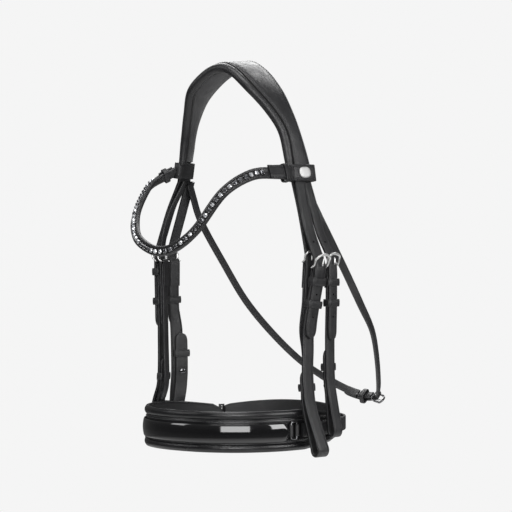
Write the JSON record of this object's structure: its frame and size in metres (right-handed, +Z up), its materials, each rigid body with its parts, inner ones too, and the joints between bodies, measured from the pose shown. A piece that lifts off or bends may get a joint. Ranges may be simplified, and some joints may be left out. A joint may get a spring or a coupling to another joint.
{
  "type": "snaffle bridle",
  "caption": "Black leather snaffle bridle in head shape: padded headpiece, curved crystal browband, cheekpieces with bit loops, padded patent noseband with chin strap, and throatlash.",
  "frame": {"origin": "underside of the poll pad at the centre of the headpiece, where it rests on the horse's poll", "axes": "+Z up, the horse faces -Y, +X is the horse's near (left) side"},
  "size_m": [0.249, 0.3778, 0.428],
  "materials": {
    "black_leather": "fine grained black leather with a low sheen",
    "patent_leather": "high gloss black patent",
    "soft_lining": "matt soft leather lining over foam",
    "silver_metal": "polished silver metal",
    "crystal": "faceted clear and smoky stones in a dark channel"
  },
  "bodies": {
    "headpiece_body": {"headpiece": "black_leather", "poll_pad": "soft_lining", "browband": "black_leather", "crystal_channel": "crystal", "browband_loop_near": "black_leather", "browband_loop_off": "black_leather", "badge_plate": "silver_metal"},
    "noseband_body": {"noseband_pad": "black_leather", "patent_strip": "patent_leather", "noseband_ring_near": "silver_metal", "noseband_ring_off": "silver_metal", "chin_strap": "black_leather", "chin_pad": "soft_lining", "chin_buckle": "silver_metal", "chin_keeper": "black_leather", "hanger_billet_near": "black_leather", "hanger_strap_near": "black_leather", "hanger_buckle_near": "silver_metal", "hanger_loop_keeper_near": "black_leather", "hanger_stud_near": "silver_metal", "front_billet_near": "black_leather", "front_strap_near": "black_leather", "front_buckle_near": "silver_metal", "front_tongue_near": "silver_metal", "hanger_billet_off": "black_leather", "hanger_strap_off": "black_leather", "hanger_buckle_off": "silver_metal", "hanger_loop_keeper_off": "black_leather", "hanger_stud_off": "silver_metal", "front_billet_off": "black_leather", "front_strap_off": "black_leather", "front_buckle_off": "silver_metal", "front_tongue_off": "silver_metal"},
    "throatlash_body": {"throatlash_near": "black_leather", "throatlash_off": "black_leather", "throat_buckle": "silver_metal", "throat_keeper": "black_leather"},
    "cheekpiece_near": {"cheek_billet_near": "black_leather", "cheek_strap_near": "black_leather", "cheek_buckle_near": "silver_metal", "cheek_upper_keeper_near": "black_leather", "cheek_loop_keeper_near": "black_leather", "cheek_stud_near": "silver_metal"},
    "cheek_running_keeper_near_body": {"cheek_running_keeper_near": "black_leather"},
    "hanger_running_keeper_near_body": {"hanger_running_keeper_near": "black_leather"},
    "cheek_tongue_near_body": {"cheek_tongue_near": "silver_metal"},
    "hanger_tongue_near_body": {"hanger_tongue_near": "silver_metal"},
    "cheekpiece_off": {"cheek_billet_off": "black_leather", "cheek_strap_off": "black_leather", "cheek_buckle_off": "silver_metal", "cheek_upper_keeper_off": "black_leather", "cheek_loop_keeper_off": "black_leather", "cheek_stud_off": "silver_metal"},
    "cheek_running_keeper_off_body": {"cheek_running_keeper_off": "black_leather"},
    "hanger_running_keeper_off_body": {"hanger_running_keeper_off": "black_leather"},
    "cheek_tongue_off_body": {"cheek_tongue_off": "silver_metal"},
    "hanger_tongue_off_body": {"hanger_tongue_off": "silver_metal"},
    "chin_tongue_body": {"chin_tongue": "silver_metal"},
    "throat_tongue_body": {"throat_tongue": "silver_metal"}
  },
  "joints": [
    {"name": "noseband_swing", "type": "hinge", "parent": "headpiece_body", "child": "noseband_body", "pos_m": [0, 0.011, -0.127], "axis": [1, 0, 0], "range_deg": [-2, 5]},
    {"name": "throatlash_swing", "type": "hinge", "parent": "headpiece_body", "child": "throatlash_body", "pos_m": [0, 0.012, -0.127], "axis": [1, 0, 0], "range_deg": [0, 25]},
    {"name": "cheekpiece_swing_near", "type": "hinge", "parent": "headpiece_body", "child": "cheekpiece_near", "pos_m": [0.0865, -0.004, -0.127], "axis": [0, -1, 0], "range_deg": [0, 20]},
    {"name": "cheek_keeper_slide_near", "type": "slide", "parent": "cheekpiece_near", "child": "cheek_running_keeper_near_body", "axis": [-0.1099, -0.0941, -0.9895], "range_m": [-0.008, 0.008]},
    {"name": "hanger_keeper_slide_near", "type": "slide", "parent": "noseband_body", "child": "hanger_running_keeper_near_body", "axis": [-0.02, 0.01, -0.9997], "range_m": [-0.008, 0.008]},
    {"name": "cheek_tongue_lift_near", "type": "hinge", "parent": "cheekpiece_near", "child": "cheek_tongue_near_body", "pos_m": [0.11, -0.0055, -0.2116], "axis": [0.1736, 0.9848, 0], "range_deg": [0, 50]},
    {"name": "hanger_tongue_lift_near", "type": "hinge", "parent": "noseband_body", "child": "hanger_tongue_near_body", "pos_m": [0.11, 0.017, -0.2096], "axis": [0.1392, 0.9903, 0], "range_deg": [0, 50]},
    {"name": "cheekpiece_swing_off", "type": "hinge", "parent": "headpiece_body", "child": "cheekpiece_off", "pos_m": [-0.0865, -0.004, -0.127], "axis": [0, 1, 0], "range_deg": [0, 20]},
    {"name": "cheek_keeper_slide_off", "type": "slide", "parent": "cheekpiece_off", "child": "cheek_running_keeper_off_body", "axis": [0.0351, -0.0211, -0.9992], "range_m": [-0.008, 0.008]},
    {"name": "hanger_keeper_slide_off", "type": "slide", "parent": "noseband_body", "child": "hanger_running_keeper_off_body", "axis": [0.02, 0.01, -0.9997], "range_m": [-0.008, 0.008]},
    {"name": "cheek_tongue_lift_off", "type": "hinge", "parent": "cheekpiece_off", "child": "cheek_tongue_off_body", "pos_m": [-0.104, -0.013, -0.2046], "axis": [0.1736, -0.9848, 0], "range_deg": [0, 50]},
    {"name": "hanger_tongue_lift_off", "type": "hinge", "parent": "noseband_body", "child": "hanger_tongue_off_body", "pos_m": [-0.11, 0.017, -0.2046], "axis": [-0.2079, -0.9781, 0], "range_deg": [0, 50]},
    {"name": "chin_tongue_lift", "type": "hinge", "parent": "noseband_body", "child": "chin_tongue_body", "pos_m": [0, 0.1266, -0.383], "axis": [0, 0, 1], "range_deg": [0, 50]},
    {"name": "throat_tongue_lift", "type": "hinge", "parent": "throatlash_body", "child": "throat_tongue_body", "pos_m": [0.02059, 0.23208, -0.36673], "axis": [0, 0.8398, 0.5429], "range_deg": [0, 50]}
  ]
}
